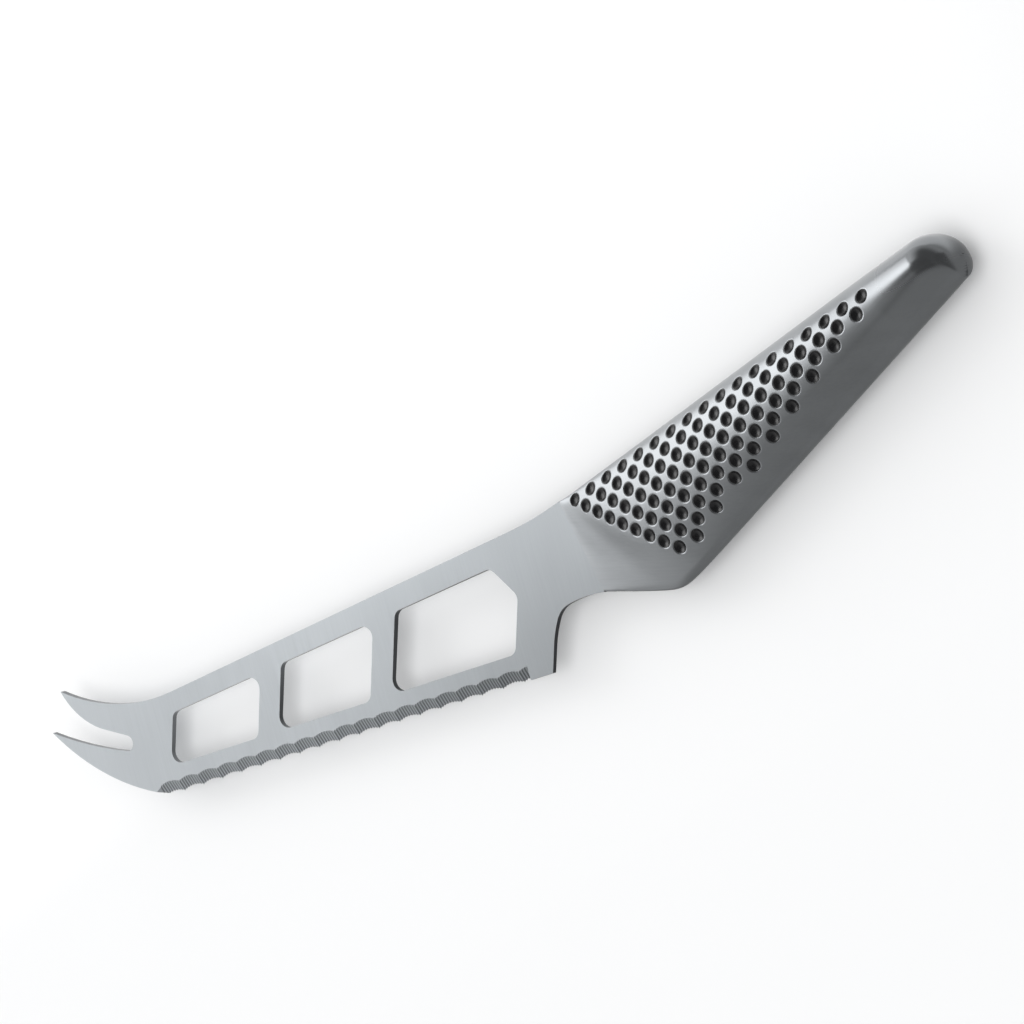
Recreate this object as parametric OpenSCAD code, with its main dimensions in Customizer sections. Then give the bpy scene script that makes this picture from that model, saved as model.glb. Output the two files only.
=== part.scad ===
// Cheese knife, all steel, with a forked tip, a windowed and scalloped blade
// and a hollow handle welded from two pressed halves.
// Millimetres. X runs along the cutting edge towards the handle, Y towards the
// spine, Z out of the blade's left side. The origin is the centre of the whole.

/* [Blade] */
// Length of the blade from the lower prong's point to the heel
blade_l = 138.4; // [120:0.2:160]
// Thickness of the blade at its spine, beside the handle
spine_t = 1.5; // [1.2:0.1:2.4]
// Thickness of the blade just above the ground edge
edge_t = 1.0; // [0.8:0.1:1.1]
// Angle between the spine and the cutting edge
spine_angle = 4.9; // [3:0.1:6]
// Height that the spine's straight line reaches over the neck
spine_h = 30.6; // [28:0.1:33]
// Length over which the spine bends up into the handle
bend_l = 14.5; // [10:0.5:20]
// Length of the flat heel behind the last scallop
heel_land = 5.9; // [4:0.1:8]
// Lean of the heel's rear edge
heel_angle = 67; // [60:0.5:75]
// Radius of the notch behind the heel
notch_r = 5.7; // [4:0.1:7]

/* [Fork] */
// How far the slot between the prongs runs back from the lower point
fork_depth = 22.6; // [18:0.1:25]
// Width of the slot between the prongs at its root
slot_w = 3.35; // [2.5:0.05:4]
// How far the upper prong's point stands back from the lower one
prong_step = 5.6; // [3:0.1:8]
// Height of the lower prong's point above the edge
lower_tip_y = 20.5; // [18:0.5:23]
// Height of the upper prong's point above the edge
upper_tip_y = 28.4; // [26:0.2:31]
// Radius of the curve under the blade's front
belly_r = 58.4; // [50:0.2:70]
// Radius of the sweep from the spine up to the upper point
sweep_r = 51; // [44:1:60]

/* [Windows] */
// Width of the steel between the windows and the cutting edge
edge_band = 5.8; // [5:0.1:8]
// Width of the steel between the first window and the spine
spine_band = 4.25; // [3.5:0.05:6]
// Slope of the windows' upper sides
window_top_angle = 4.4; // [3:0.1:6]
// Width of the bars between the windows
bar_w = 6.1; // [4:0.1:9]
// Lean of the windows' side walls
window_angle = 67; // [60:0.5:80]
// Widths of the three windows, from the tip to the heel
window_w = [26.2, 26.5, 34.1]; // [20:0.1:38]
// Distance of the first window's lower corner from the lower point
window_x = 31.5; // [30:0.5:36]
// Radius of the windows' corners
window_r = 2.2; // [1:0.1:3]
// Length cut off each side of the last window's upper rear corner
corner_cut = 8.2; // [4:0.1:9]

/* [Edge] */
// Length of one scallop along the edge
scallop_pitch = 5.74; // [4:0.02:8]
// Depth of a scallop
scallop_depth = 0.55; // [0.4:0.05:0.9]
// Number of fine flutes in each scallop
flute_n = 8; // [4:1:10]
// Depth of a fine flute
flute_depth = 0.12; // [0.06:0.01:0.16]
// Height of the ground band on the left side
grind_h = 2.7; // [1.8:0.1:3.4]

/* [Handle] */
// Length of the handle along its spine
handle_l = 107.1; // [95:0.1:120]
// Angle between the handle's spine and the cutting edge
handle_angle = 13.9; // [10:0.1:18]
// Radius of the rounded butt, half of the handle's greatest thickness
butt_r = 7.1; // [6.5:0.1:8]
// Angle between the handle's spine and its lower edge
belly_angle = 11.5; // [9:0.1:13]
// Depth of the handle's spine above the line of its lower edge, at the neck
belly_depth = 32.8; // [30:0.1:35]
// Depth of the neck where the handle meets the blade
neck_depth = 20.3; // [18:0.1:22]
// Fall of the neck's underside away from the spine's line
neck_angle = 28.5; // [25:0.5:32]
// Wall of the pressed steel halves
wall = 1.3; // [1:0.1:1.8]
// Length of the blade's tang inside the handle
tang_l = 26; // [16:1:34]
// Thickness of the tang
tang_t = 0.8; // [0.6:0.1:1]
// Margin between the tang and the handle's outline
tang_margin = 3; // [2:0.5:5]

/* [Dimples] */
// Diameter of a dimple
dimple_d = 2.9; // [2:0.1:3.2]
// Depth of a dimple
dimple_depth = 0.75; // [0.4:0.05:0.9]
// First dimple: how far along the spine and how far below it
first_dimple = [4.06, 1.73]; // [1:0.01:8]
// Bare length left at the butt end
bare_end = 22; // [16:1:40]
// Spacing of the rows along the handle
row_pitch = 4.94; // [4.4:0.02:6]
// Spacing of the dimples down a row
dimple_pitch = 3.47; // [3.3:0.01:4.4]
// Thickness of the black enamel that lines a dimple
enamel_t = 0.12; // [0.08:0.01:0.2]

/* [Hidden] */
$fn = 48;
eps = 0.01;

// Small helpers
function lerp(a, b, s) = a + (b - a) * s;
function clamp01(s) = min(1, max(0, s));
function smooth_step(s) = clamp01(s) * clamp01(s) * (3 - 2 * clamp01(s));
function smooth_min(a, b, k) = (a + b) / 2 - sqrt(pow((a - b) / 2, 2) + k * k);
// The smaller of two heights, eased where they are nearly equal
function lower_of(a, b) = a <= 0 || b <= 0 ? 0 : pow(pow(a, -6) + pow(b, -6), -1 / 6);
function unit(angle) = [cos(angle), sin(angle)];
function left_of(d) = [-d[1], d[0]];

// Points of a circular arc from p to q; a positive r bulges to the right of the way
function arc_centre(p, q, r) =
    let (m = (p + q) / 2, c = q - p, h = sqrt(r * r - c * c / 4))
    m + left_of(c / norm(c)) * h * sign(r);
function arc(p, q, r, steps) =
    let (c = arc_centre(p, q, r), a0 = atan2(p[1] - c[1], p[0] - c[0]),
        a1 = atan2(q[1] - c[1], q[0] - c[0]),
        turn = r > 0 ? (a1 - a0 + 720) % 360 : -((a0 - a1 + 720) % 360))
    [for (i = [0:steps]) c + abs(r) * unit(a0 + turn * i / steps)];

// The handle's own frame: t along its spine from the neck, v up across it
function spine_y(x) = spine_h + (x - neck_x) * tan(spine_angle);
neck_x = blade_l + 13.2;
bend_mean = (spine_angle + handle_angle) / 2;
bend_start = [neck_x - bend_l, spine_y(neck_x - bend_l)];
neck = bend_start + bend_l * [1, tan(bend_mean)];
along = unit(handle_angle);
across = left_of(along);
function place(t, v) = neck + along * t + across * v;

// Half thickness of the blade's tapered plate
taper = (spine_t - edge_t) / 2 / neck[1];
function plate_half(y) = edge_t / 2 + taper * y;

// Blade outline, from the lower point round by the edge, heel, neck and spine
lower_tip = [0, lower_tip_y];
upper_tip = [prong_step, upper_tip_y];
belly_sag = 0.92;
belly_end = [lower_tip_y * belly_sag + 10.6, 0];
heel = [blade_l, 0];
neck_low = place(0, -neck_depth);
// The notch: up the heel's rear edge, round the corner and out along the neck
notch_k = neck_low[1] / 11.75;
heel_top = heel + 4.9 * unit(heel_angle);
notch_side = heel + [4.9, 9.6 * notch_k];
notch_end = heel + [8.8, 11.75 * notch_k];
sweep_x = fork_depth + 14;
sweep_end = [sweep_x, spine_y(sweep_x)];
// Fork: the slot's root, its two sides and the curves that open it to the points
slot_angle = -21.5;
slot_dir = unit(slot_angle);
slot_root = [fork_depth - slot_w / 2, 13.25];
slot_upper = slot_root + left_of(slot_dir) * slot_w / 2;
slot_lower = slot_root - left_of(slot_dir) * slot_w / 2;
throat = slot_upper - slot_dir * 6.6 + left_of(slot_dir) * 0.35;
outline = concat(
    arc(lower_tip, belly_end, belly_r, 16),
    [heel],
    arc(heel_top, notch_side, -22.7, 6),
    arc(notch_side, notch_end, -notch_r, 8),
    arc(notch_end, neck_low, -31, 6),
    arc(neck, bend_start, -norm(neck - bend_start) / 2 / sin((handle_angle - spine_angle) / 2), 6),
    arc(sweep_end, upper_tip, -sweep_r, 14),
    arc(upper_tip, throat, 18.3, 10),
    arc(slot_upper, slot_lower, -slot_w / 2 - eps, 8),
    arc(slot_lower, lower_tip, -100, 6));

// Windows: parallelograms with level sills, leaning sides and tops along the spine
lean = 1 / tan(window_angle);
function window_start(i) = i == 0 ? window_x : window_start(i - 1) + window_w[i - 1] + bar_w;
function window_top(x, k) =
    let (rise = tan(window_top_angle), at = window_x + 10 * lean,
        y = (spine_y(at) - spine_band + (x - at - edge_band * lean) * rise) / (1 - lean * rise))
    [x + (y - edge_band) * lean, y];
function window_corners(i) =
    let (a = window_start(i), b = a + window_w[i])
    let (low = [b, edge_band], top = window_top(b), side = (low - top) / norm(low - top),
        back = (window_top(a) - top) / norm(window_top(a) - top))
    concat([[a, edge_band], low],
        i < len(window_w) - 1 ? [top] : [top + side * corner_cut, top + back * corner_cut],
        [window_top(a)]);

// Scallops: ground into the left side at a slant, each with fine flutes along its arc
grind_angle = atan2(edge_t, grind_h - scallop_depth);
scallop_sag = scallop_depth * sin(grind_angle);
scallop_r = (pow(scallop_pitch / 2, 2) + pow(scallop_sag, 2)) / 2 / scallop_sag;
flute_turn = 2 * asin(scallop_pitch / 2 / scallop_r) / flute_n;
flute_r = (pow(scallop_r * sin(flute_turn / 2), 2) + pow(flute_depth, 2)) / 2 / flute_depth;
tip_flat = 0.02;
edge_stop = blade_l - heel_land;
scallop_n = floor((edge_stop - belly_end[0]) / scallop_pitch) + 1;
first_tip = edge_stop - 2.4 - (scallop_n - 1) * scallop_pitch;

// Handle outline in its own frame
butt_t = handle_l - butt_r;
function shrink(t) = t < butt_t ? 1 : sqrt(max(0, 1 - pow((t - butt_t) / butt_r, 2)));
function line_depth(t) =
    smooth_min(neck_depth + t * tan(neck_angle),
        belly_depth - t * tan(belly_angle), 1);
function top_v(t) = -butt_r * (1 - shrink(t));
function low_v(t) = -min(line_depth(t), t < butt_t ? 99 : butt_r * (1 + shrink(t)));

// Half thickness of the handle at a place, with its skin taken off by a depth w
crown_l = 83;
tail_at_neck = 60;
neck_crown = 2.1;
crest_at_neck = 16.3;
roll = 2.15;
flank_l = 90;
edge_roll = [1.25, 1.5];
flank_slope = [0, 1.3];
function crown(t) = lerp(neck_crown, butt_r + 0.5, 1 - pow(1 - clamp01(t / crown_l), 2));
function crest(t) = lerp(crest_at_neck, butt_r - 0.5, clamp01(t / crown_l));
function tail(t) = lerp(tail_at_neck, butt_r, clamp01(t / butt_t));
function arch(t, d, w) =
    let (s = shrink(t), a = crest(t) * s - w, b = tail(t) * s - w, h = crown(t) * s - w,
        x = d < a ? (a - d) / a : (d - a) / b)
    h <= 0 ? 0 : h * pow(max(0, 1 - pow(max(0, x), roll)), 1 / roll);
function flank(t, d, w) =
    let (s = clamp01(t / flank_l), g = lerp(flank_slope[0], flank_slope[1], s),
        r = lerp(edge_roll[0], edge_roll[1], s), near = clamp01(d / r))
    g * d + r * sqrt(1 - pow(1 - near, 2)) - w * sqrt(1 + g * g);
function swell(t, v, w) =
    lower_of(arch(t, top_v(t) - v - w, w),
        flank(t, (line_depth(t) + v) * cos(belly_angle), w));
function neck_run(v) = 2.4 - 0.87 * v;
function half(t, v) =
    let (s = smooth_step(t / neck_run(v)))
    lerp(plate_half(place(t, v)[1]), swell(t, v, 0), s);

// Stations along the handle, closer together at the neck and over the butt's dome
function stations(from, to, n, turn_n) = concat(
    [for (i = [0:n - 1]) from + (butt_t - from) * pow(i / n, 1.3)],
    [for (i = [0:turn_n]) butt_t + (to - butt_t) * sin(87 * i / turn_n)]);
function spread(i, m) = (1 - cos(180 * i / m)) / 2;
// Triangles between rows of m + 1 points each
function grid_faces(n, m, base, up) =
    [for (j = [0:n - 2]) for (i = [0:m - 1])
        let (a = base + j * (m + 1) + i, b = a + m + 1)
        each up ? [[a, b + 1, a + 1], [a, b, b + 1]] : [[a, a + 1, b + 1], [a, b + 1, b]]];

// Outer form of one half: a swelling sheet over a flat seam face in the middle plane
rim = 0.04;
module half_body(n = 32, turn_n = 8, m = 18) {
    ts = stations(0, handle_l, n, turn_n);
    rows_n = len(ts);
    points = [for (t = ts) for (i = [0:m])
        let (v = lerp(top_v(t), low_v(t), spread(i, m)))
        concat(place(t, v), i == 0 || i == m ? 0 : max(rim, half(t, v)))];
    last = (rows_n - 1) * (m + 1);
    polyhedron(points, concat(grid_faces(rows_n, m, 0, true),
        [[for (i = [0:m]) i], [for (i = [m:-1:0]) last + i],
            concat([for (j = [rows_n - 1:-1:0]) j * (m + 1)],
                [for (j = [0:rows_n - 1]) j * (m + 1) + m])]));
}

// Hollow of the handle, the same on both sides of the middle plane
cavity_start = 13;
module cavity(n = 16, turn_n = 4, m = 9) {
    ts = stations(cavity_start, handle_l - wall, n, turn_n);
    rows_n = len(ts);
    count = rows_n * (m + 1);
    points = [for (t = ts) for (i = [0:m])
        let (top = top_v(t) - wall, low = min(low_v(t) + 1.9 * wall, top - 1),
            v = lerp(top, low, spread(i, m)))
        concat(place(t, v), max(0.25, swell(t, v, wall)))];
    under = [for (p = points) [p[0], p[1], -p[2]]];
    last = (rows_n - 1) * (m + 1);
    polyhedron(concat(points, under), concat(
        grid_faces(rows_n, m, 0, true), grid_faces(rows_n, m, count, false),
        [concat([for (i = [0:m]) i], [for (i = [m:-1:0]) count + i]),
            concat([for (i = [m:-1:0]) last + i], [for (i = [0:m]) count + last + i])],
        [for (j = [0:rows_n - 2])
            let (a = j * (m + 1), b = a + m + 1)
            [a, count + a, count + b, b]],
        [for (j = [0:rows_n - 2])
            let (a = j * (m + 1) + m, b = a + m + 1)
            [b, count + b, count + a, a]]));
}

// Thin tongue of the blade that reaches into the handle
module tang(t = tang_t) {
    end_depth = line_depth(tang_l) - 2 * tang_margin;
    translate([0, 0, -t / 2])
        linear_extrude(t)
            polygon([place(-eps, -tang_margin), place(-eps, -neck_depth + tang_margin),
                place(tang_l * 0.5, -neck_depth), place(tang_l - 2, -end_depth * 0.75),
                place(tang_l, -end_depth * 0.75 + 2), place(tang_l, -end_depth * 0.4),
                place(tang_l - 2, -end_depth * 0.4 + 2), place(tang_l * 0.5, -tang_margin - 2)]);
}

// Plate with flat ground sides, thinner towards the edge
module tapered_plate() {
    reach = 400;
    translate([-reach / 2, 0, 0])
        rotate([90, 0, 90])
            linear_extrude(reach)
                polygon([for (y = [-5, 60]) [y, plate_half(y)],
                    for (y = [60, -5]) [y, -plate_half(y)]]);
}

module window(i) {
    c = window_corners(i);
    n = len(c);
    translate([0, 0, -spine_t])
        linear_extrude(2 * spine_t)
            polygon([for (k = [0:n - 1])
                each rounded_corner(c[(k + n - 1) % n], c[k], c[(k + 1) % n], window_r)]);
}
// Corner b between a and c rounded with radius r
function rounded_corner(a, b, c, r) =
    let (u = (a - b) / norm(a - b), w = (c - b) / norm(c - b), half_turn = acos(u * w) / 2,
        run = r / tan(half_turn))
    arc(b + u * run, b + w * run, r, 8);

// One slanted scallop with its fine flutes; it starts at the edge's right side
module scallop_cutter(x) {
    translate([x, 0, -edge_t / 2])
        rotate([grind_angle - 90, 0, 0])
            translate([0, scallop_sag - tip_flat - scallop_r, -4]) {
                cylinder(r = scallop_r, h = 12);
                for (k = [0:flute_n - 1])
                    rotate((k + 0.5 - flute_n / 2) * flute_turn)
                        translate([0, scallop_r + flute_depth - flute_r, 0])
                            cylinder(r = flute_r, h = 12);
            }
}

module blade() {
    color("lightgray")
        difference() {
            union() {
                intersection() {
                    translate([0, 0, -spine_t])
                        linear_extrude(2 * spine_t)
                            polygon(outline);
                    tapered_plate();
                }
                tang();
            }
            for (i = [0:len(window_w) - 1])
                window(i);
            intersection() {
                for (k = [-1:scallop_n - 1])
                    scallop_cutter(first_tip + (k + 0.5) * scallop_pitch);
                translate([0, -9, -9])
                    cube([edge_stop, 18, 18]);
            }
        }
}

// Dimples: rows that run down from the spine and grow shorter towards the butt
row_step = row_pitch * unit(-1.8);
dimple_step = dimple_pitch * unit(-47.8);
rows = floor((handle_l - bare_end - first_dimple[0]) / row_pitch) + 2;
function row_count(k) = floor(lerp(9.85, 1.86, k / (rows - 1)));
dimples = [for (k = [0:rows - 1]) for (i = [0:row_count(k) - 1])
    [first_dimple[0], -first_dimple[1]] + row_step * k + dimple_step * i];
dimple_r = (pow(dimple_d / 2, 2) + pow(dimple_depth, 2)) / 2 / dimple_depth;
function slope(p) =
    [half(p[0] + 0.3, p[1]) - half(p[0] - 0.3, p[1]),
        half(p[0], p[1] + 0.3) - half(p[0], p[1] - 0.3)] / 0.6;
module at_dimple(p) {
    g = slope(p);
    q = place(p[0], p[1]);
    n = norm([g[0], g[1], 1]);
    translate([q[0], q[1], half(p[0], p[1])])
        rotate([0, 0, handle_angle + atan2(-g[1], -g[0])])
            rotate([0, acos(1 / n), 0])
                translate([0, 0, dimple_r - dimple_depth])
                    children();
}

module handle_half() {
    difference() {
        half_body();
        cavity();
        tang();
        for (p = dimples)
            at_dimple(p)
                sphere(r = dimple_r);
    }
}

// Thin black bowl inside a dimple, its rim a little under the steel
module enamel_bowl() {
    difference() {
        sphere(r = dimple_r);
        sphere(r = dimple_r - enamel_t);
        translate([-2, -2, dimple_depth - 0.2 - dimple_r])
            cube(4);
    }
}
module enamel() {
    for (p = dimples)
        at_dimple(p)
            enamel_bowl();
}

module left_handle_half() {
    color("silver")
        handle_half();
}
module right_handle_half() {
    color("silver")
        mirror([0, 0, 1])
            handle_half();
}
module left_dimple_enamel() {
    color("black")
        enamel();
}
module right_dimple_enamel() {
    color("black")
        mirror([0, 0, 1])
            enamel();
}
module ballast_filling() {
    color("tan")
        difference() {
            cavity();
            tang();
        }
}

// The origin sits at the centre of the knife's box
butt_c = place(butt_t, -butt_r);
centre = [(butt_c[0] + butt_r) / 2, (butt_c[1] + butt_r) / 2];
module centred() {
    translate([-centre[0], -centre[1], 0])
        children();
}

centred() blade();
centred() left_handle_half();
centred() right_handle_half();
centred() left_dimple_enamel();
centred() right_dimple_enamel();
centred() ballast_filling();
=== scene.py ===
import bpy
import math
import numpy as np
from mathutils import Matrix, Vector
from mathutils.geometry import delaunay_2d_cdt


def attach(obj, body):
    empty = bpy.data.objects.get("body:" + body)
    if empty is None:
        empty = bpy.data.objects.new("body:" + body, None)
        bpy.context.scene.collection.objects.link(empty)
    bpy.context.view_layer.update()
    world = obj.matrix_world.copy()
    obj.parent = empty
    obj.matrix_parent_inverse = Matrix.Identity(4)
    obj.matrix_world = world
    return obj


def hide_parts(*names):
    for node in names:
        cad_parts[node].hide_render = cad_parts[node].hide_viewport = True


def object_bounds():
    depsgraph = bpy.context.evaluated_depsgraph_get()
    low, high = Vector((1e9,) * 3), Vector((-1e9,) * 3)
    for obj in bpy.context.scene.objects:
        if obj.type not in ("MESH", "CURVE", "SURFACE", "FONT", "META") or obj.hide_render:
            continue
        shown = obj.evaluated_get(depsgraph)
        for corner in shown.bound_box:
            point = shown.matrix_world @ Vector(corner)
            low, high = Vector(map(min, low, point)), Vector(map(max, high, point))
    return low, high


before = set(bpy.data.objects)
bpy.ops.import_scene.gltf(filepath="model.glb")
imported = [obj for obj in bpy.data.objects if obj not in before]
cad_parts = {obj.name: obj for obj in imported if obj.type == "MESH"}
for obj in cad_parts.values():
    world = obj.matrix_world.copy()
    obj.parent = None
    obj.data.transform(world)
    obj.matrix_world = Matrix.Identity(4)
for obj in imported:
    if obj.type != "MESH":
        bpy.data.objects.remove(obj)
for spare in ("Cube", "Light", "Camera"):
    if spare in bpy.data.objects:
        bpy.data.objects.remove(bpy.data.objects[spare])
cadBox = [list(corner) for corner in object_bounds()]
mm = 0.001


def lerp(a, b, s):
    return a + (b - a) * s


def clamp01(s):
    return np.clip(s, 0.0, 1.0)


def unit(rows):
    return rows / np.maximum(np.linalg.norm(rows, axis=-1, keepdims=True), 1e-12)


def direction(angle):
    return np.array([math.cos(math.radians(angle)), math.sin(math.radians(angle))])


def meshPiece(name, points, faces, normals=None, material=None):
    # The points are in millimetres
    mesh = bpy.data.meshes.new(name)
    mesh.from_pydata([tuple(p) for p in np.asarray(points) * mm], [], faces)
    mesh.polygons.foreach_set("use_smooth", [True] * len(mesh.polygons))
    if normals is not None:
        mesh.normals_split_custom_set_from_vertices([tuple(v) for v in normals])
    if material is not None:
        mesh.materials.append(material)
    piece = bpy.data.objects.new(name, mesh)
    bpy.context.scene.collection.objects.link(piece)
    return piece


class Wire:
    # A socket of a node tree; sums of wires and numbers add Math nodes
    def __init__(self, tree, socket):
        self.tree, self.socket = tree, socket

    def add(self, kind, settings=None, sockets=None, output=0):
        node = self.tree.nodes.new(kind)
        for key, value in (settings or {}).items():
            setattr(node, key, value)
        for key, value in (sockets or {}).items():
            if isinstance(value, Wire):
                self.tree.links.new(value.socket, node.inputs[key])
            else:
                node.inputs[key].default_value = value
        return Wire(self.tree, node.outputs[output])

    def maths(self, operation, *values):
        return self.add("ShaderNodeMath", {"operation": operation}, dict(enumerate(values)))

    def __add__(self, other):
        return self.maths("ADD", self, other)

    def __radd__(self, other):
        return self.maths("ADD", other, self)

    def __sub__(self, other):
        return self.maths("SUBTRACT", self, other)

    def __rsub__(self, other):
        return self.maths("SUBTRACT", other, self)

    def __mul__(self, other):
        return self.maths("MULTIPLY", self, other)

    def __rmul__(self, other):
        return self.maths("MULTIPLY", other, self)

    def __truediv__(self, other):
        return self.maths("DIVIDE", self, other)

    def __rtruediv__(self, other):
        return self.maths("DIVIDE", other, self)

    def magnitude(self):
        return self.maths("ABSOLUTE", self)

    def root(self):
        return self.maths("SQRT", self)

    def largest(self, other):
        return self.maths("MAXIMUM", self, other)

    def step(self, low, high):
        return self.add("ShaderNodeMapRange", {"interpolation_type": "SMOOTHSTEP"},
            {"Value": self, "From Min": low, "From Max": high})

    def separate(self):
        return [self.add("ShaderNodeSeparateXYZ", {}, {0: self}, axis) for axis in range(3)]

    def noise(self, x, y, z, detail=2.0):
        place = self.add("ShaderNodeCombineXYZ", {}, {0: x, 1: y, 2: z})
        return self.add("ShaderNodeTexNoise", {}, {"Vector": place, "Scale": 1.0, "Detail": detail,
            "Roughness": 0.55})

    def times(self, colour):
        # A colour made darker or lighter by this value
        return self.add("ShaderNodeVectorMath", {"operation": "SCALE"}, {0: colour, "Scale": self})

    def mix(self, low, high):
        # Sockets 6 and 7 of Mix are its colours, and output 2 is the colour that comes out
        return self.add("ShaderNodeMix", {"data_type": "RGBA"}, {0: self, 6: (*low, 1), 7: (*high, 1)}, 2)

    def bump(self, height):
        return self.add("ShaderNodeBump", {}, {"Height": self, "Strength": 1.0, "Distance": height * mm})


def newMaterial(name, values):
    material = bpy.data.materials.new(name)
    material.use_nodes = True
    tree = material.node_tree
    tree.nodes.clear()
    surface = tree.nodes.new("ShaderNodeBsdfPrincipled")
    output = tree.nodes.new("ShaderNodeOutputMaterial")
    tree.links.new(surface.outputs[0], output.inputs[0])
    for key, value in values.items():
        surface.inputs[key].default_value = value
    return material, tree, surface


def objectAxes(tree):
    # Object coordinates in millimetres
    place = Wire(tree, tree.nodes.new("ShaderNodeTexCoord").outputs["Object"])
    return [axis / mm for axis in place.separate()]


def connect(tree, surface, links):
    for key, wire in links.items():
        tree.links.new(wire.socket, surface.inputs[key])


def shadesOf(colour, shades):
    return [[part * shade for part in colour] for shade in shades]


def grainy(name, look, values):
    material, tree, surface = newMaterial(name, values)
    x, y, z = objectAxes(tree)
    grain = x.noise(x / look["grain"], y / look["grain"], z / look["grain"], 3.0)
    connect(tree, surface, {
        "Base Color": grain.mix(*shadesOf(look["colour"], look["shades"])),
        "Roughness": look["roughness"] + (grain - 0.5) * look["unevenness"],
        "Normal": grain.bump(look["grainHeight"]),
    })
    return material


def dress(node, material):
    # A CAD node whose shape is right only gets its finish
    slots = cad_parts[node].data.materials
    slots.clear()
    slots.append(material)


# The blade's finish: lines across it, soft clouds, painted shade on the cut walls, and painted shade
# darkening it towards the handle
blade = {
    "colour": (0.44, 0.465, 0.485), "roughness": 0.32, "unevenness": 0.14,
    "linePitch": 0.45, "lineLength": 18.0, "lineHeight": 0.0022, "lineTone": 0.12,
    "cloudSize": (17, 23, 20), "cloudTone": 0.14,
    "wallFacing": (0.3, 0.65), "wallPaintedShade": 0.3,
    "paintedShadeBetween": (-60.0, 30.0), "paintedShadeTone": 0.61,
}


# Painted shade: the steel's colour gets darker towards the handle, standing in for darker reflections there
def shadeTowardsHandle(x):
    return 1 - x.step(*blade["paintedShadeBetween"]) * (1 - blade["paintedShadeTone"])


def bladeSteel(look):
    material, tree, surface = newMaterial("brushedBladeSteel", {"Metallic": 1.0})
    x, y, z = objectAxes(tree)
    lines = x.noise(x / look["linePitch"], y / look["lineLength"], z / look["lineLength"], 3.0)
    clouds = x.noise(*(axis / size for axis, size in zip((x, y, z), look["cloudSize"])), 1.0)
    # Painted shade: faces turned sideways, the cut walls, get a darker colour
    facing = x.add("ShaderNodeTexCoord", output="Normal").separate()[2].magnitude()
    wall = 1 - facing.step(*look["wallFacing"])
    tone = (lines - 0.5) * look["lineTone"] + (clouds - 0.5) * look["cloudTone"] + 1
    tone = tone * (1 - wall * (1 - look["wallPaintedShade"])) * shadeTowardsHandle(x)
    connect(tree, surface, {
        "Base Color": tone.times(look["colour"]),
        "Roughness": look["roughness"] + (lines - 0.5) * look["unevenness"],
        "Normal": lines.bump(look["lineHeight"]),
    })
    return material


dress("blade", bladeSteel(blade))
print("blade dressed")

# A handle half: form and hollow in millimetres as in the part's source, then its mesh and its finish
handle = {
    "neck": (22.861, 3.763), "angle": 13.9, "length": 107.1, "buttRadius": 7.1,
    "bellyAngle": 11.5, "bellyDepth": 32.8, "bellyRound": 1.0, "neckDepth": 20.3, "neckAngle": 28.5,
    "crownLength": 83.0, "neckCrown": 2.1, "crestAtNeck": 16.3, "tailAtNeck": 60.0, "buttRise": 0.5,
    "roll": 2.15, "flankLength": 90.0, "edgeRoll": (1.25, 1.5), "flankSlope": (0.0, 1.3),
    "neckRun": (2.4, 0.87), "spineThickness": 1.5, "edgeThickness": 1.0, "neckHeight": 31.757,
    "edgeRound": 0.28,
    "wall": 1.3, "hollowStart": 13.0, "hollowLowGap": 1.9, "hollowLeast": 1.0, "hollowEdge": 0.25,
    "rows": 166, "domeRows": 24, "domeEnd": 87.5, "across": 44, "crowding": 0.055,
    "hollowRows": 60, "hollowDomeRows": 10, "hollowDomeEnd": 87.0, "hollowAcross": 24,
    "colour": (0.46, 0.48, 0.498), "roughness": 0.33, "unevenness": 0.12, "polished": 0.2,
    "polishAlong": (84.0, 102.0), "polishUp": (-9.0, -6.0), "plainAhead": (14.0, 3.0),
    "linePitch": 0.4, "lineLength": 14.0, "lineHeight": 0.0016, "lineAngle": 27.0,
    "lineTone": (0.15, 0.05), "cloudSize": (15, 5, 9), "cloudTone": 0.24,
}
dimple = {
    "first": (4.06, -1.73), "rowPitch": 4.94, "rowAngle": -1.8, "pitch": 3.47, "pitchAngle": -47.8,
    "rows": 18, "firstCount": 9.85, "lastCount": 1.86, "diameter": 2.9, "depth": 0.75,
    "rimRound": 0.2, "rimSpread": 0.26, "sides": 28, "levels": 5, "clearance": 0.3,
    "rimBetween": (0.4, 2.4), "halvings": 14,
}


def lowerOf(a, b, least=1e-4, sharpness=6.0):
    # The lower of two heights, with a soft change between them
    a, b = np.maximum(a, least), np.maximum(b, least)
    return (a ** -sharpness + b ** -sharpness) ** (-1 / sharpness)


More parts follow.
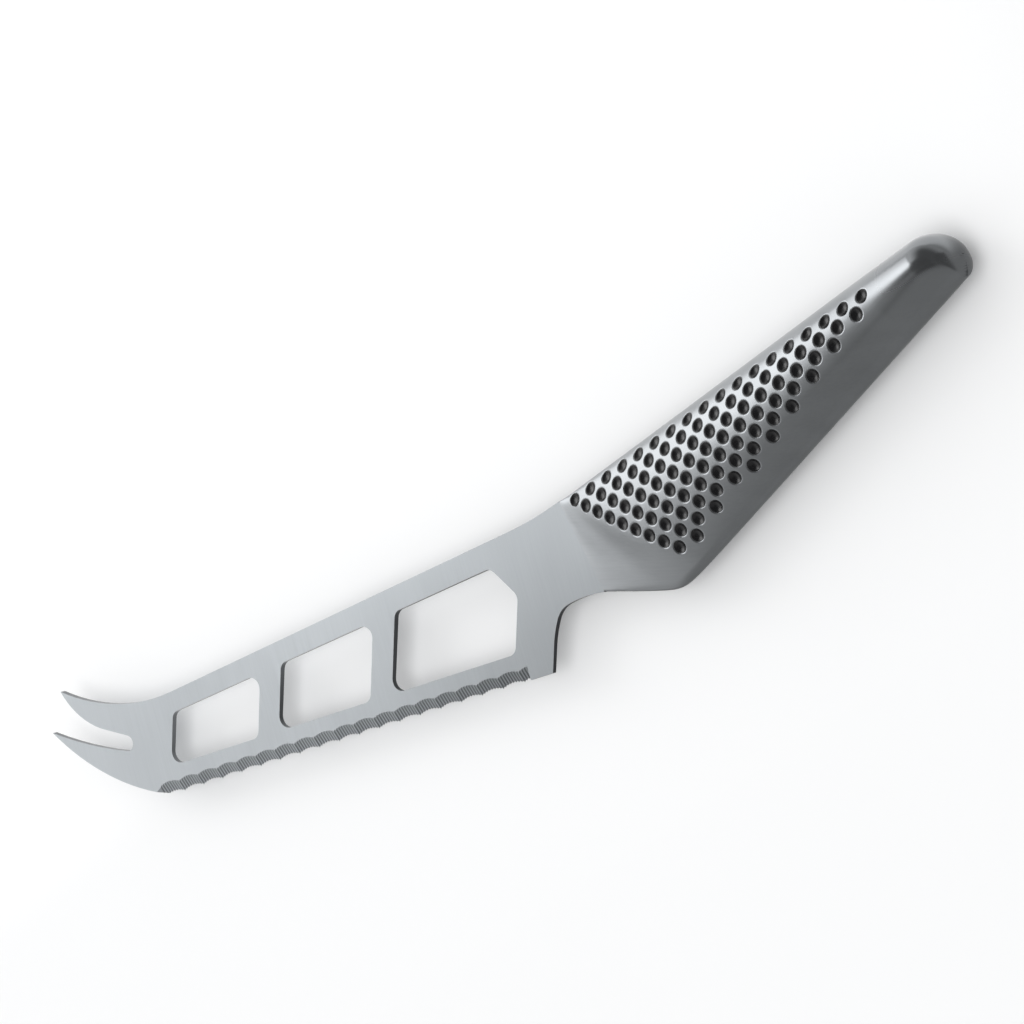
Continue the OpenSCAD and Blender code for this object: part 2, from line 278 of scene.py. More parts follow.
class HandleShape:
    # The handle's surface over its own frame: t along the spine, v up across it, s down the skin

    def __init__(self, form):
        self.form = form
        self.along = direction(form["angle"])
        self.across = np.array([-self.along[1], self.along[0]])
        self.neck = np.array(form["neck"])
        self.buttT = form["length"] - form["buttRadius"]

    def rowsAlong(self, count, domeCount, domeEnd, start=0.0, wall=0.0):
        # Even stations up to the butt, then closer and closer ones over its dome
        turn = np.linspace(0, math.radians(domeEnd), domeCount)
        return np.concatenate([np.linspace(start, self.buttT, count, endpoint=False),
            self.buttT + (self.form["buttRadius"] - wall) * np.sin(turn)])

    def shrink(self, t):
        r = self.form["buttRadius"]
        return np.sqrt(np.maximum(0.0, 1 - (np.maximum(0.0, t - self.buttT) / r) ** 2))

    def lineDepth(self, t):
        f = self.form
        a = f["neckDepth"] + t * math.tan(math.radians(f["neckAngle"]))
        b = f["bellyDepth"] - t * math.tan(math.radians(f["bellyAngle"]))
        return (a + b) / 2 - np.sqrt(((a - b) / 2) ** 2 + f["bellyRound"] ** 2)

    def topEdge(self, t):
        return -self.form["buttRadius"] * (1 - self.shrink(t))

    def lowEdge(self, t):
        dome = np.where(t < self.buttT, np.inf, self.form["buttRadius"] * (1 + self.shrink(t)))
        return -np.minimum(self.lineDepth(t), dome)

    def swell(self, t, v, wall=0.0):
        # An arch that falls from the crest to both sides, kept under a flank that rises from the edge
        f = self.form
        s = clamp01(t / f["crownLength"])
        small = self.shrink(t)
        crown = lerp(f["neckCrown"], f["buttRadius"] + f["buttRise"], 1 - (1 - s) ** 2) * small - wall
        crest = lerp(f["crestAtNeck"], f["buttRadius"] - f["buttRise"], s) * small - wall
        tail = lerp(f["tailAtNeck"], f["buttRadius"], clamp01(t / self.buttT)) * small - wall
        d = self.topEdge(t) - v - wall
        x = np.where(d < crest, (crest - d) / crest, (d - crest) / tail)
        arch = crown * np.maximum(0.0, 1 - np.maximum(0.0, x) ** f["roll"]) ** (1 / f["roll"])
        s = clamp01(t / f["flankLength"])
        g = lerp(*f["flankSlope"], s)
        r = lerp(*f["edgeRoll"], s)
        low = np.maximum(0.0, (self.lineDepth(t) + v) * math.cos(math.radians(f["bellyAngle"])))
        flank = g * low + r * np.sqrt(1 - (1 - clamp01(low / r)) ** 2) - wall * np.sqrt(1 + g * g)
        return lowerOf(arch, flank)

    def plate(self, t, v):
        # Half the blade's thickness, which the handle starts with at the neck
        f = self.form
        y = f["neckHeight"] + t * self.along[1] + v * self.across[1]
        return f["edgeThickness"] / 2 + (f["spineThickness"] - f["edgeThickness"]) / 2 / f["neckHeight"] * y

    def half(self, t, v):
        run, slant = self.form["neckRun"]
        s = clamp01(t / (run - slant * v))
        s = s * s * (3 - 2 * s)
        d = np.minimum(self.topEdge(t) - v, v - self.lowEdge(t))
        r = self.form["edgeRound"]
        cut = 1 - clamp01(d / r)
        rounded = self.plate(t, v) - r * (1 - np.sqrt(np.maximum(0.0, 1 - cut * cut)))
        return lerp(rounded, self.swell(t, v), s)

    def place(self, t, v):
        return self.neck + np.multiply.outer(t, self.along) + np.multiply.outer(v, self.across)

    def measure(self, rows=260, domeRows=60, domeEnd=89.427, count=400):
        # Arc length down each section, so that points can be spread evenly over the skin
        stations = self.rowsAlong(rows, domeRows, domeEnd)
        u = (1 - np.cos(np.linspace(0, math.pi, count))) / 2
        top = self.topEdge(stations)[:, None]
        low = self.lowEdge(stations)[:, None]
        v = top + (low - top) * u[None, :]
        z = self.half(stations[:, None] + 0 * v, v)
        z[:, [0, -1]] = 0
        step = np.hypot(np.diff(v, axis=1), np.diff(z, axis=1))
        length = np.concatenate([np.zeros((len(stations), 1)), np.cumsum(step, axis=1)], axis=1)
        self.stations, self.sectionV, self.sectionS, self.sectionZ = stations, v, length, z

    def girth(self, t):
        return np.interp(t, self.stations, self.sectionS[:, -1])

    def onSection(self, k, share):
        # v and z on one measured section, at a share of its length
        s = share * self.sectionS[k, -1]
        return np.array([np.interp(s, self.sectionS[k], self.sectionV[k]),
            np.interp(s, self.sectionS[k], self.sectionZ[k])])

    def skin(self, t, s):
        # Points of the skin at arc length s down the section at t
        t = np.clip(np.asarray(t, float), 0, self.stations[-1])
        before = np.clip(np.searchsorted(self.stations, t, side="right") - 1, 0, len(self.stations) - 2)
        part = (t - self.stations[before]) / (self.stations[before + 1] - self.stations[before])
        share = clamp01(s / np.maximum(self.girth(t), 1e-9))
        vz = np.array([lerp(self.onSection(k, q), self.onSection(k + 1, q), a)
            for k, a, q in zip(before, part, share)])
        return np.column_stack([self.place(t, vz[:, 0]), vz[:, 1]])

    def arcAt(self, t, v):
        k = int(np.searchsorted(self.stations, t, side="right") - 1)
        return float(np.interp(-v, -self.sectionV[k], self.sectionS[k]))

    def skinNormals(self, t, s, step=0.04):
        alongSkin = self.skin(t + step, s) - self.skin(t - step, s)
        downSkin = self.skin(t, s + step) - self.skin(t, s - step)
        return unit(np.cross(downSkin, alongSkin))


def dimplePlaces(form):
    # A slanting lattice: each row is a little shorter than the one before
    row = form["rowPitch"] * direction(form["rowAngle"])
    step = form["pitch"] * direction(form["pitchAngle"])
    places = []
    for k in range(form["rows"]):
        count = math.floor(lerp(form["firstCount"], form["lastCount"], k / (form["rows"] - 1)))
        places += [np.array(form["first"]) + row * k + step * i for i in range(count)]
    return places


def pitSizes(form):
    # Radius of the sphere that presses a dimple, and how far its centre stands over the skin
    radius = (form["diameter"] ** 2 / 4 + form["depth"] ** 2) / (2 * form["depth"])
    return radius, radius - form["depth"]


def aroundPit(pit, reach):
    # Points of the unrolled skin round a dimple's middle
    return pit["t"] + reach * np.cos(pit["angles"]), pit["s"] + reach * np.sin(pit["angles"])


def makePits(shape, form):
    # Where each dimple lies in the skin, and how far its rim is from its middle in each direction
    radius, lift = pitSizes(form)
    angles = np.linspace(0, 2 * math.pi, form["sides"], endpoint=False)
    pits = []
    for t, v in dimplePlaces(form):
        pit = {"t": t, "s": shape.arcAt(t, v), "angles": angles}
        here = np.array([t]), np.array([pit["s"]])
        pit["skin"], pit["normal"] = shape.skin(*here)[0], shape.skinNormals(*here)[0]
        pit["centre"] = pit["skin"] + pit["normal"] * lift
        low, high = (np.full(len(angles), reach) for reach in form["rimBetween"])
        for halving in range(form["halvings"]):
            middle = (low + high) / 2
            p = shape.skin(*aroundPit(pit, middle))
            outside = np.linalg.norm(p - pit["centre"], axis=1) > radius
            high = np.where(outside, middle, high)
            low = np.where(outside, low, middle)
        pit["rim"] = (low + high) / 2
        pits.append(pit)
    return pits


def beyondRim(pit, t, s, extra):
    # Which points of the unrolled skin lie further out than a dimple's rim and a little more
    away = np.hypot(t - pit["t"], s - pit["s"])
    turn = np.arctan2(s - pit["s"], t - pit["t"]) % (2 * math.pi)
    rim = np.append(pit["rim"], pit["rim"][0]) + extra
    return away > np.interp(turn, np.append(pit["angles"], 2 * math.pi), rim)


class GrowingMesh:
    # Points, normals and faces of a handle half, a part at a time
    def __init__(self):
        self.points, self.normals, self.faces, self.count = [], [], [], 0

    def add(self, points, normals):
        # Gives back the new points' numbers
        self.points.append(points)
        self.normals.append(normals)
        self.count += len(points)
        return list(range(self.count - len(points), self.count))


def addSkin(mesh, shape, form, dimpleForm, pits):
    # An even grid over the unrolled skin, thinned out where the dimples are, with a ring round each
    rows = shape.rowsAlong(form["rows"], form["domeRows"], form["domeEnd"])
    spread = np.linspace(0, 1, form["across"] + 1)
    spread = spread - form["crowding"] * np.sin(2 * math.pi * spread)
    gridS = shape.girth(rows)[:, None] * spread[None, :]
    gridT = rows[:, None] + 0 * gridS
    border = np.zeros(gridS.shape, bool)
    border[[0, -1], :] = border[:, [0, -1]] = True
    keep = np.ones(gridS.shape, bool)
    sides, spreadOfRim = dimpleForm["sides"], dimpleForm["rimSpread"]
    for pit in pits:
        keep &= beyondRim(pit, gridT, gridS, spreadOfRim + dimpleForm["clearance"]) | border
    grid = (np.cumsum(keep) - 1).reshape(keep.shape)
    around = [aroundPit(pit, pit["rim"] + spreadOfRim) for pit in pits]
    t = np.concatenate([gridT[keep]] + [ring[0] for ring in around])
    s = np.concatenate([gridS[keep]] + [ring[1] for ring in around])
    rings = [list(range(first, first + sides)) for first in range(keep.sum(), len(t), sides)]
    normals = shape.skinNormals(t, s)
    for edge in (grid[:, 0], grid[:, -1]):
        # Where the halves meet, the skin turns square to the seam
        normals[edge, 2] = 0
        normals[edge] = unit(normals[edge])
    mesh.add(shape.skin(t, s), normals)
    justInsideRing = spreadOfRim * 0.98
    mesh.faces += skinFaces(t, s, rings, pits, justInsideRing, rows, shape.girth(rows))
    return grid, rings


def skinFaces(t, s, rings, pits, holes, rows, girths, tiny=1e-7):
    # Triangles over the unrolled skin, left open inside the rings
    edges = [pair for ring in rings for pair in zip(ring, ring[1:] + ring[:1])]
    made = delaunay_2d_cdt([Vector(p) for p in zip(t, s)], edges, [], 0, tiny)
    order = np.array([group[0] for group in made[3]])
    faces = order[np.array([list(f) for f in made[2]])]
    middleT, middleS = t[faces].mean(axis=1), s[faces].mean(axis=1)
    inside = middleS < np.interp(middleT, rows, girths)
    for pit in pits:
        inside &= beyondRim(pit, middleT, middleS, holes)
    a, b, c = (np.column_stack([t, s])[faces[:, k]] for k in range(3))
    area = np.cross(b - a, c - a)
    inside &= np.abs(area) > tiny
    return np.where(area[:, None] < 0, faces, faces[:, ::-1])[inside].tolist()


def pressDimple(mesh, shape, form, pit, ring):
    # From the ring in the skin over the rounded rim and down to the floor
    radius = pitSizes(form)[0]
    centre, axis = pit["centre"], -pit["normal"]
    lip = shape.skin(*aroundPit(pit, pit["rim"]))
    toLip = unit(lip - centre)
    lean = np.arccos(np.clip(toLip @ axis, -1, 1)) - form["rimRound"] / radius
    outward = unit(toLip - np.outer(toLip @ axis, axis))

    def wallAt(angle):
        return np.cos(angle)[:, None] * axis + np.sin(angle)[:, None] * outward

    # The rim's crown lies between the ring, the sharp lip and the wall's first circle
    inner = centre + radius * wallAt(lean)
    rim = 0.25 * mesh.points[0][ring] + 0.5 * lip + 0.25 * inner
    circles = [ring, mesh.add(rim, unit(mesh.normals[0][ring] - wallAt(lean)))]
    for level in range(form["levels"]):
        wall = wallAt(lean * (1 - level / form["levels"]))
        circles.append(mesh.add(centre + radius * wall, -wall))
    floor = mesh.add((centre + radius * axis)[None, :], -axis[None, :])[0]
    for upper, lower in zip(circles, circles[1:]):
        mesh.faces += [(upper[k - 1], lower[k - 1], lower[k], upper[k]) for k in range(len(ring))]
    mesh.faces += [(lower[k - 1], floor, lower[k]) for k in range(len(ring))]


def hollowRoof(shape, form):
    # A wall's thickness under the skin, as rows of points across the handle
    wall = form["wall"]
    t = shape.rowsAlong(form["hollowRows"], form["hollowDomeRows"], form["hollowDomeEnd"],
        form["hollowStart"], wall)[:, None]
    top = shape.topEdge(t) - wall
    low = np.minimum(shape.lowEdge(t) + form["hollowLowGap"] * wall, top - form["hollowLeast"])
    v = lerp(top, low, (1 - np.cos(np.linspace(0, math.pi, form["hollowAcross"] + 1))) / 2)
    height = np.maximum(form["hollowEdge"], shape.swell(t, v, wall))
    return np.dstack([shape.neck + t[..., None] * shape.along + v[..., None] * shape.across, height])


def flatRing(points, outer, inner):
    # Triangles between two closed outlines, always across the shorter way
    faces, i, j = [], 0, 0
    while i < len(outer) or j < len(inner):
        a, b = outer[i % len(outer)], inner[j % len(inner)]
        nextA, nextB = outer[(i + 1) % len(outer)], inner[(j + 1) % len(inner)]
        shorter = np.linalg.norm(points[nextA] - points[b]) <= np.linalg.norm(points[nextB] - points[a])
        if j == len(inner) or (i < len(outer) and shorter):
            faces.append((a, nextA, b))
            i += 1
        else:
            faces.append((a, nextB, b))
            j += 1
    return faces


def closeHalf(mesh, shape, form, grid):
    # The butt's pole and the end face at the neck
    tip = shape.place(form["length"], -form["buttRadius"])
    pole = mesh.add(np.array([[*tip, 0]]), np.array([[*shape.along, 0]]))[0]
    last = grid[-1].tolist()
    mesh.faces += [(a, b, pole) for a, b in zip(last, last[1:])]
    mesh.faces.append(grid[0, ::-1].tolist())
    # The hollow's roof, its edge straight down to the seam, and the seam's flat face around it
    roof = hollowRoof(shape, form)
    inward = unit(np.cross(np.gradient(roof, axis=0), np.gradient(roof, axis=1)))
    under = np.array(mesh.add(roof.reshape(-1, 3), inward.reshape(-1, 3))).reshape(roof.shape[:2])
    corners = under[:-1, :-1], under[1:, :-1], under[1:, 1:], under[:-1, 1:]
    mesh.faces += np.stack(corners, axis=-1).reshape(-1, 4).tolist()
    rim = np.concatenate([under[:, 0], under[-1, 1:], under[-2::-1, -1], under[0, -2:0:-1]]).tolist()
    down = np.tile((0.0, 0.0, -1.0), (len(rim), 1))
    foot = mesh.add(np.vstack(mesh.points)[rim] * (1, 1, 0), down)
    mesh.faces += [(rim[k - 1], foot[k - 1], foot[k], rim[k]) for k in range(len(rim))]
    seam = grid[:, 0].tolist() + [pole] + grid[::-1, -1].tolist()
    mesh.faces += flatRing(np.vstack(mesh.points), seam, foot)


def handleHalfMesh(form, dimpleForm):
    shape = HandleShape(form)
    shape.measure()
    pits = makePits(shape, dimpleForm)
    mesh = GrowingMesh()
    grid, rings = addSkin(mesh, shape, form, dimpleForm, pits)
    for pit, ring in zip(pits, rings):
        pressDimple(mesh, shape, dimpleForm, pit, ring)
    closeHalf(mesh, shape, form, grid)
    return np.vstack(mesh.points), mesh.faces, np.vstack(mesh.normals), pits


def turned(x, y, angle):
    c, s = math.cos(math.radians(angle)), math.sin(math.radians(angle))
    return x * c + y * s, y * c - x * s


def handleSteel(look):
    # Satin with slanting lines, which the polished butt loses
    material, tree, surface = newMaterial("satinHandleSteel", {"Metallic": 1.0})
    x, y, z = objectAxes(tree)
    t, v = turned(x - look["neck"][0], y - look["neck"][1], look["angle"])
    downLine, acrossLine = turned(t, v, -look["lineAngle"])
    pitch, sizes = look["linePitch"], look["cloudSize"]
    lines = x.noise(downLine / look["lineLength"], acrossLine / pitch, z / pitch, 3.0)
    clouds = x.noise(downLine / sizes[0], acrossLine / sizes[1], z / sizes[2], 1.0)
    (along, up), (ahead, below) = (look["polishAlong"], look["polishUp"]), look["plainAhead"]
    polish = t.step(*along) * v.step(*up)
    plain = t.step(along[0] - ahead, along[0]) * v.step(up[0] - below, up[0])
    tone = (lines - 0.5) * lerp(*look["lineTone"], plain) + (clouds - 0.5) * look["cloudTone"] + 1
    satin = look["roughness"] + (lines - 0.5) * look["unevenness"] * (1 - plain)
    connect(tree, surface, {
        # The colour takes the same painted shade towards the handle as the blade
        "Base Color": (tone * shadeTowardsHandle(x)).times(look["colour"]),
        "Roughness": lerp(satin, look["polished"], polish),
        "Normal": (lines * (1 - plain)).bump(look["lineHeight"]),
    })
    return material


points, faces, normals, pits = handleHalfMesh(handle, dimple)
handleMaterial = handleSteel(handle)
mirror = np.array([1, 1, -1])
leftHandle = meshPiece("leftHandleHalf", points, faces, normals, handleMaterial)
rightHandle = meshPiece("rightHandleHalf", points * mirror, [f[::-1] for f in faces], normals * mirror,
    handleMaterial)
for piece, node in ((leftHandle, "left_handle_half"), (rightHandle, "right_handle_half")):
    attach(piece, "root")
    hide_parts(node)
print("handle halves made:", len(points), "points and", len(faces), "faces each")

enamel = {
    "thickness": 0.07, "gap": 0.004, "belowRim": 0.11, "sides": 24, "rings": 7,
    "colour": (0.004, 0.004, 0.005), "shades": (0.7, 1.3), "roughness": 0.27, "unevenness": 0.2,
    "grain": 0.25, "grainHeight": 0.003,
}


def bowlMesh(form, dimpleForm):
    # A thin bowl in the dimple's own frame: z is the skin's normal, and the skin is at 0
    radius, lift = pitSizes(dimpleForm)
    sides, rings = form["sides"], form["rings"]
    points, faces, circles = [], [], []
    for shell in (radius - form["gap"], radius - form["thickness"]):
        lean = math.acos((lift + form["belowRim"]) / shell)
        for k in range(rings):
            a = lean * (1 - k / rings)
            circles.append(len(points))
            points += [(shell * math.sin(a) * math.cos(2 * math.pi * i / sides),
                shell * math.sin(a) * math.sin(2 * math.pi * i / sides),
                lift - shell * math.cos(a)) for i in range(sides)]
        circles.append(len(points))
        points.append((0, 0, lift - shell))
    outer, inner = circles[:rings + 1], circles[rings + 1:]
    nextSide = [(i, (i + 1) % sides) for i in range(sides)]
    for shell, flip in ((outer, 1), (inner, -1)):
        for a, b in zip(shell[:-2], shell[1:-1]):
            faces += [(a + i, b + i, b + j, a + j)[::flip] for i, j in nextSide]
        faces += [(shell[-2] + i, shell[-1], shell[-2] + j)[::flip] for i, j in nextSide]
    faces += [(outer[0] + j, inner[0] + j, inner[0] + i, outer[0] + i) for i, j in nextSide]
    return points, faces


def bowlTree(name):
    # One bowl at each point, its axis along the skin's normal there
    tree = bpy.data.node_groups.new(name, "GeometryNodeTree")
    tree.is_modifier = True
    for label, kind in (("Geometry", "Geometry"), ("Bowl", "Object"), ("Bowl size", "Float"),
            ("Bowl material", "Material")):
        tree.interface.new_socket(label, in_out="INPUT", socket_type="NodeSocket" + kind)
    tree.interface.new_socket("Geometry", in_out="OUTPUT", socket_type="NodeSocketGeometry")
    entry = tree.nodes.new("NodeGroupInput")
    ending = tree.nodes.new("NodeGroupOutput")
    given = {socket.name: Wire(tree, socket) for socket in entry.outputs if socket.name}
    start = given["Geometry"]
    axis = start.add("GeometryNodeInputNamedAttribute", {"data_type": "FLOAT_VECTOR"}, {"Name": "pitAxis"})
    turn = start.add("FunctionNodeAlignRotationToVector", {"axis": "Z"}, {"Vector": axis})
    template = start.add("GeometryNodeObjectInfo", {}, {"Object": given["Bowl"]}, "Geometry")
    placed = start.add("GeometryNodeInstanceOnPoints", {}, {"Points": start, "Instance": template,
        "Rotation": turn, "Scale": given["Bowl size"]})
    real = start.add("GeometryNodeRealizeInstances", {}, {"Geometry": placed})
    coloured = start.add("GeometryNodeSetMaterial", {}, {"Geometry": real,
        "Material": given["Bowl material"]})
    tree.links.new(coloured.socket, ending.inputs[0])
    return tree


def bowlsInDimples(name, pits, side, bowl, material):
    flip = np.array([1, 1, side])
    carrier = meshPiece(name + "Carrier", [pit["skin"] * flip for pit in pits], [])
    axes = carrier.data.attributes.new("pitAxis", "FLOAT_VECTOR", "POINT")
    axes.data.foreach_set("vector", np.array([pit["normal"] * flip for pit in pits]).ravel())
    modifier = carrier.modifiers.new("bowls", "NODES")
    modifier.node_group = bowlTree(name + "Tree")
    values = {"Bowl": bowl, "Bowl size": 1.0, "Bowl material": material}
    for item in modifier.node_group.interface.items_tree:
        if item.in_out == "INPUT" and item.name in values:
            modifier[item.identifier] = values[item.name]
    evaluated = carrier.evaluated_get(bpy.context.evaluated_depsgraph_get())
    result = bpy.data.objects.new(name, bpy.data.meshes.new_from_object(evaluated))
    bpy.context.scene.collection.objects.link(result)
    bpy.data.objects.remove(carrier)
    return result


bowl = meshPiece("bowlTemplate", *bowlMesh(enamel, dimple))
enamelMaterial = grainy("blackEnamel", enamel, {"Metallic": 0.0, "IOR": 1.5})
for name, node, side in (("leftDimpleEnamel", "left_dimple_enamel", 1),
        ("rightDimpleEnamel", "right_dimple_enamel", -1)):
    lining = bowlsInDimples(name, pits, side, bowl, enamelMaterial)
    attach(lining, "root")
    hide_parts(node)
bpy.data.objects.remove(bowl)
print("enamel made:", len(pits), "dimples a side")

filling = {
    "colour": (0.45, 0.36, 0.24), "shades": (0.7, 1.3), "roughness": 0.9, "unevenness": 0.2,
    "grain": 0.35, "grainHeight": 0.12,
}
dress("ballast_filling", grainy("packedSand", filling, {"Metallic": 0.0}))
print("filling dressed")

# In metres: a drape's profile runs in y and z, its starts and its end in x. The drapes and the floor cloth
# are glowing cards that only the steel mirrors; their greys are painted light and shade standing in for lit
# cloths. Their tones change with the sine of the elevation seen from the mirror centre, the floor cloth's
# over millimetres.
studio = {
    "floor": {"colour": (0.86, 0.865, 0.87), "shades": (0.995, 1.005), "mottle": 90.0, "roughness": 0.75,
        "size": 6.0, "gap": 0.0002},
    "worldGrey": 0.72,
    "lights": {
        "keyLight": {"place": (0.45, -0.25, 1.5), "target": (0, 0, 0), "size": (0.9, 0.9), "power": 9.0},
        "panelLight": {"place": (-0.62, 0.42, 0.42), "target": (0.05, 0, 0), "size": (0.5, 0.55),
            "power": 1.5},
    },
    "mirrorCentre": (0.07, 0.01, 0.006), "clothLift": 0.001,
    "drapes": {
        "frontDrape": {"profile": ((-0.6, 0.0), (-0.95, 0.12), (-1.15, 0.42), (-1.08, 0.8),
                (-0.75, 1.12), (-0.32, 1.25)),
            "starts": (-2.2, -2.2, -2.2, -2.2, -1.8, -1.4), "end": 4.0,
            "tones": (0.36, 0.09), "rise": (0.55, 0.82), "westTone": 0.74, "west": (0.12, 0.97),
            "topTone": 0.14, "top": (0.79, 0.95)},
        "backDrape": {"profile": ((0.9, 0.0), (1.1, 0.4), (1.02, 0.8), (0.7, 1.12), (0.2, 1.25),
                (-0.32, 1.25)),
            "starts": (-0.5, -0.5, -0.5, -0.55, -0.65, -0.7), "end": 4.0,
            "tones": (0.5, 0.15), "rise": (0.02, 0.42), "westTone": 1.0, "west": (-0.1, 0.65),
            "topTone": 0.13, "top": (0.76, 0.92)},
    },
    "endDrape": {"place": 1.3, "size": (-1.2, 1.2, 0.0, 1.25), "tone": 0.13},
    "floorCloth": {"size": (-2.2, 4.0, -0.6, 0.9), "tone": 0.35, "farTone": 1.05, "far": (-7.0, 6.0),
        "east": (122.0, 165.0), "eastShare": 0.35},
    "tents": (
        {"distance": 0.38, "strength": 3.2, "rows": 9, "azimuths": (124, 133, 146, 158, 168, 176, 186),
            "lowest": (10, 2, -3, 3, 22, 41, 46), "highest": (56, 62, 66, 66, 64, 62, 59)},
        {"distance": 1.2, "strength": 1.7, "rows": 6, "azimuths": (154, 165, 176, 186, 197),
            "lowest": (-2, -2, 0, 4, 12), "highest": (46, 46, 45, 43, 40)},
    ),
}


def makeFloor(form, level):
    material, tree, surface = newMaterial("paleFloor", {"Roughness": form["roughness"]})
    x, y, z = objectAxes(tree)
    mottle = x.noise(x / form["mottle"], y / form["mottle"], z / form["mottle"])
    connect(tree, surface, {"Base Color": mottle.mix(*shadesOf(form["colour"], form["shades"]))})
    h = form["size"] / 2 / mm
    floor = meshPiece("studioFloor", [(-h, -h, 0), (h, -h, 0), (h, h, 0), (-h, h, 0)], [(0, 1, 2, 3)],
        material=material)
    floor.location.z = level


def areaLight(name, form):
    data = bpy.data.lights.new(name, "AREA")
    data.shape, data.energy = "RECTANGLE", form["power"]
    data.size, data.size_y = form["size"]
    light = bpy.data.objects.new(name, data)
    light.location = form["place"]
    light.visible_glossy = light.visible_camera = False  # the steel mirrors the cloths instead
    toTarget = Vector(form["target"]) - Vector(form["place"])
    light.rotation_euler = toTarget.to_track_quat("-Z", "Y").to_euler()
    bpy.context.scene.collection.objects.link(light)


def mirrorOnly(card, level):
    # Like a photographer's light tent, a card gives the steel its tones and shows nowhere else
    card.location.z = level
    card.visible_camera = card.visible_diffuse = card.visible_shadow = False


def glowing(name, values):
    return newMaterial(name, {"Base Color": (0, 0, 0, 1), "Emission Strength": 1.0} | values)


def shine(name, toneAt, strength=1.0):
    # A glowing card's material: its emitted grey, worked out from the place on the card, is painted light
    # and shade standing in for a lit cloth
    material, tree, surface = glowing(name, {"Emission Strength": strength})
    connect(tree, surface, {"Emission Color": toneAt(*objectAxes(tree)).mix((0, 0, 0), (1, 1, 1))})
    return material


def hangDrape(name, form, centre, level):
    def toneAt(x, y, z):
        x, y, z = (axis - middle / mm for axis, middle in zip((x, y, z), centre))
        flat = (x * x + y * y).root()
        height = z / (flat * flat + z * z).root()
        # Painted light and shade: the grey changes with height and towards the west, as light would fall on
        # a cloth
        tone = lerp(*form["tones"], height.step(*form["rise"]))
        tone = lerp(tone, form["westTone"], (0 - x / flat).step(*form["west"]))
        return lerp(tone, form["topTone"], height.step(*form["top"]))

    points = [(x / mm, y / mm, z / mm) for (y, z), start in zip(form["profile"], form["starts"])
        for x in (start, form["end"])]
    faces = [(2 * k, 2 * k + 1, 2 * k + 3, 2 * k + 2) for k in range(len(form["profile"]) - 1)]
    mirrorOnly(meshPiece(name, points, faces, material=shine(name + "Cloth", toneAt)), level)


def hangEndDrape(form, level):
    # One even dark grey glows from this card: painted shade that the butt mirrors
    tone = form["tone"]
    material = glowing("endDrapeGlowCard", {"Emission Color": (tone, tone, tone, 1)})[0]
    x, (near, far, low, high) = form["place"] / mm, (side / mm for side in form["size"])
    mirrorOnly(meshPiece("endDrape", [(x, near, low), (x, far, low), (x, far, high), (x, near, high)],
        [(0, 1, 2, 3)], material=material), level)


def layFloorCloth(form, level):
    def toneAt(x, y, z):
        # Painted light and shade: dark near the knife, brighter further back, less so to the east
        beyond = y - x * math.tan(math.radians(handle["angle"]))
        farTone = form["farTone"] * (1 - x.step(*form["east"]) * (1 - form["eastShare"]))
        return lerp(form["tone"], farTone, beyond.step(*form["far"]))

    west, east, near, far = (side / mm for side in form["size"])
    mirrorOnly(meshPiece("floorCloth", [(west, near, 0), (east, near, 0), (east, far, 0), (west, far, 0)],
        [(0, 1, 2, 3)], material=shine("floorGlowCard", toneAt)), level)


def pitchTent(name, form, centre):
    # A bright patch of a sphere round the knife, which fades out at its edges
    def toneAt(x, y, z):
        return x.add("ShaderNodeAttribute", {"attribute_name": "softEdge"}, output="Fac")

    points, soft, n, columns = [], [], form["rows"], len(form["azimuths"])
    for j, (azimuth, lowest, highest) in enumerate(zip(form["azimuths"], form["lowest"], form["highest"])):
        for k in range(n):
            (ax, ay), (flat, up) = direction(azimuth), direction(lerp(lowest, highest, k / (n - 1)))
            points.append((centre + Vector((ax * flat, ay * flat, up)) * form["distance"]) / mm)
            soft.append(float(0 < j < columns - 1 and 0 < k < n - 1))
    faces = [(j * n + k, j * n + k + 1, j * n + n + k + 1, j * n + n + k)
        for j in range(columns - 1) for k in range(n - 1)]
    patch = meshPiece(name, points, faces, material=shine(name + "Cloth", toneAt, form["strength"]))
    patch.data.attributes.new("softEdge", "FLOAT", "POINT").data.foreach_set("value", soft)
    mirrorOnly(patch, 0)


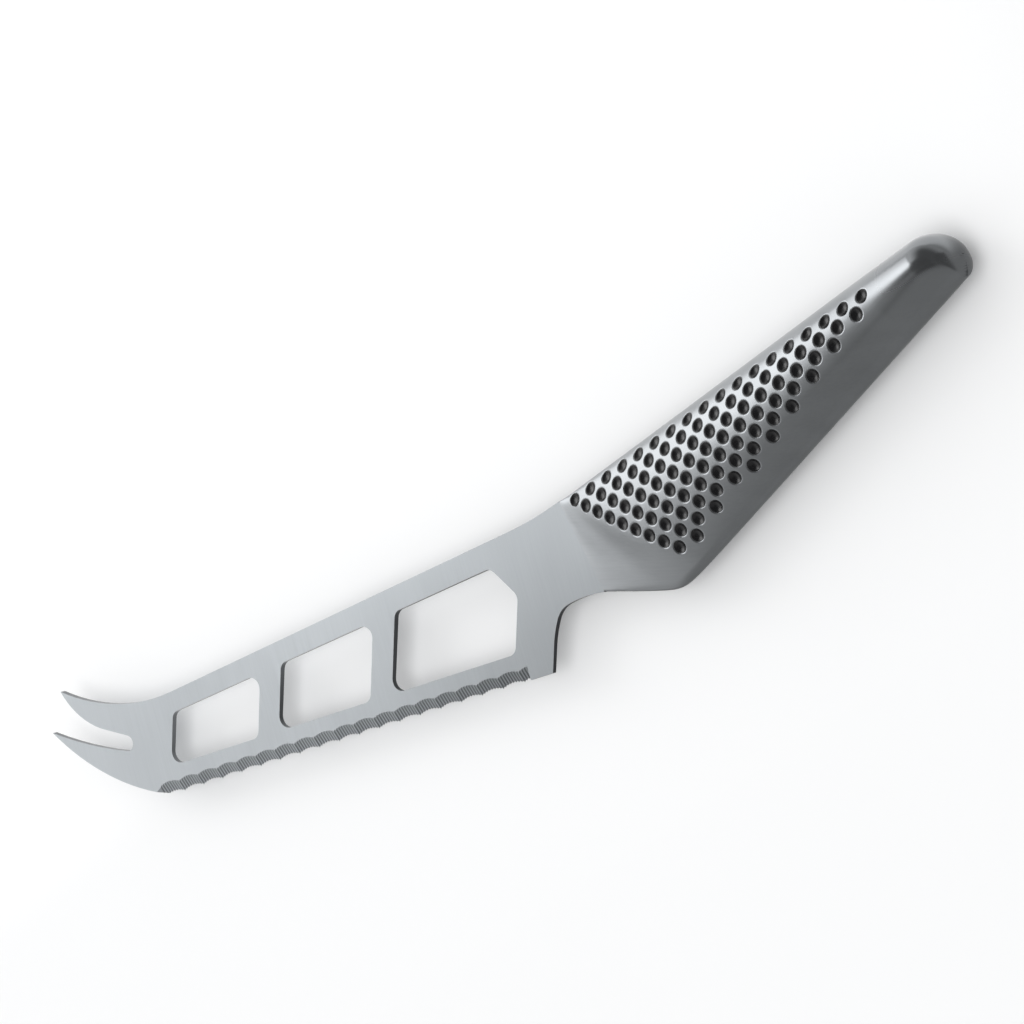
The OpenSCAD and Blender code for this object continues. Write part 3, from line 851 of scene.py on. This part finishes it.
def makeWorld(grey):
    # White where it is seen or mirrored, grey where it lights
    world = bpy.data.worlds.new("studioWorld")
    bpy.context.scene.world = world
    world.use_nodes = True
    tree = world.node_tree
    tree.nodes.clear()
    output = tree.nodes.new("ShaderNodeOutputWorld")
    path = tree.nodes.new("ShaderNodeLightPath")
    camera, glossy, through = (Wire(tree, path.outputs[label]) for label in
        ("Is Camera Ray", "Is Glossy Ray", "Is Transmission Ray"))
    colour = camera.largest(glossy).largest(through).mix([grey] * 3, (1, 1, 1))
    background = camera.add("ShaderNodeBackground", {}, {"Color": colour, "Strength": 1.0})
    tree.links.new(background.socket, output.inputs[0])


floorLevel = cadBox[0][2] - studio["floor"]["gap"]
clothLevel = floorLevel + studio["clothLift"]
mirrorCentre = Vector(studio["mirrorCentre"])
makeFloor(studio["floor"], floorLevel)
for name, form in studio["drapes"].items():
    hangDrape(name, form, mirrorCentre, clothLevel)
hangEndDrape(studio["endDrape"], clothLevel)
layFloorCloth(studio["floorCloth"], clothLevel)
for i, form in enumerate(studio["tents"]):
    pitchTent("lightTent" + str(i), form, mirrorCentre)
for name, form in studio["lights"].items():
    areaLight(name, form)
makeWorld(studio["worldGrey"])
print("studio made")

photoCamera = {
    "focalPixels": 4700.0, "imagePixels": 1024.0, "sensor": 36.0, "clip": (0.01, 50),
    "place": (0.593472, -0.068532, 0.722137), "right": (0.735819, -0.268669, -0.621601),
    "up": (0.257424, 0.959994, -0.110205), "back": (0.626342, -0.078924, 0.775543),
}


def setCamera(form):
    data = bpy.data.cameras.new("photoCamera")
    data.sensor_width = form["sensor"]
    data.lens = form["focalPixels"] / form["imagePixels"] * form["sensor"]
    data.clip_start, data.clip_end = form["clip"]
    camera = bpy.data.objects.new("photoCamera", data)
    bpy.context.scene.collection.objects.link(camera)
    right, up, back, place = (Vector(form[key]) for key in ("right", "up", "back", "place"))
    camera.matrix_world = Matrix((right, up, back)).transposed().to_4x4()
    camera.matrix_world.translation = place
    bpy.context.scene.camera = camera


setCamera(photoCamera)
bpy.context.scene.view_settings.view_transform = "Standard"
print("camera made")
